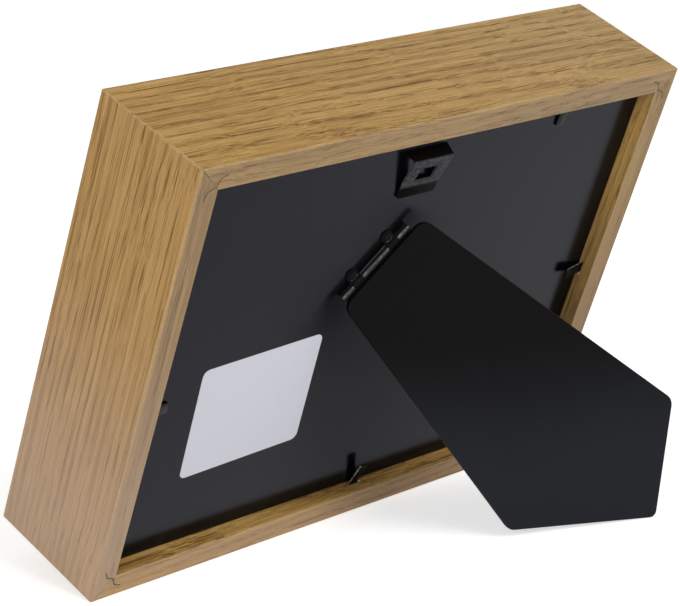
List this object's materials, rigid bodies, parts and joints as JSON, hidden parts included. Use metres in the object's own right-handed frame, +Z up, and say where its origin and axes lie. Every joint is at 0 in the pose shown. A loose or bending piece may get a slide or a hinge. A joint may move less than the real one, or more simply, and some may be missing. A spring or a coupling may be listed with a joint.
{
  "type": "easel back photo frame",
  "caption": "Deep oak box frame that stands on its long side, with a black back held by flexible steel points, a hanger and a flared strut on an askew barrel hinge.",
  "frame": {"origin": "centre of the footprint at floor level, in use on the strut", "axes": "+X along the long side, picture towards -Y, +Z up"},
  "size_m": [0.196, 0.1112, 0.1518],
  "materials": {
    "oak": "clear satin oil",
    "spacer": "painted white, matt",
    "board": "black coated board, satin",
    "strut": "black coated board, satin",
    "mount": "matt card",
    "print": "semi-matt print",
    "label": "smooth white",
    "glass": "clear float glass",
    "black_steel": "black lacquer",
    "hinge_steel": "blackened, worn on the knuckles",
    "point_steel": "blued",
    "nail_steel": "plain"
  },
  "bodies": {
    "frame": {"rail_top": "oak", "spacer_top": "spacer", "rail_bottom": "oak", "spacer_bottom": "spacer", "rail_left": "oak", "spacer_left": "spacer", "rail_right": "oak", "spacer_right": "spacer", "corner_v_nails": "nail_steel", "glass_pane": "glass", "mount_board": "mount", "photo_print": "print", "backing_board": "board", "hanger_plate": "black_steel", "label": "label", "hinge_straps": "hinge_steel", "hinge_pin": "hinge_steel", "strap_rivets": "hinge_steel", "tab_shanks": "point_steel"},
    "strut": {"strut_board": "strut", "hinge_strut_leaf": "hinge_steel", "strut_leaf_rivets": "black_steel"},
    "point_top": {"tab_top": "point_steel"},
    "point_right": {"tab_right": "point_steel"},
    "point_bottom": {"tab_bottom": "point_steel"},
    "point_left": {"tab_left": "point_steel"}
  },
  "joints": [
    {"name": "strut_swing", "type": "hinge", "parent": "frame", "child": "strut", "pos_m": [0.01325, 0.01487, 0.09132], "axis": [0.6743, -0.2574, -0.6921], "range_deg": [-31, 0]},
    {"name": "point_bottom_bend", "type": "hinge", "parent": "frame", "child": "point_bottom", "pos_m": [-0.0093, -0.01624, 0.00895], "axis": [-1, 0, 0], "range_deg": [-12, 64]},
    {"name": "point_right_bend", "type": "hinge", "parent": "frame", "child": "point_right", "pos_m": [-0.08995, 0.0057, 0.06796], "axis": [0, 0.3486, 0.9373], "range_deg": [-8, 70]},
    {"name": "point_top_bend", "type": "hinge", "parent": "frame", "child": "point_top", "pos_m": [-0.0538, 0.02904, 0.13071], "axis": [1, 0, 0], "range_deg": [0, 74]},
    {"name": "point_left_bend", "type": "hinge", "parent": "frame", "child": "point_left", "pos_m": [0.08995, 0.00267, 0.0598], "axis": [0, -0.3486, -0.9373], "range_deg": [0, 74]}
  ]
}
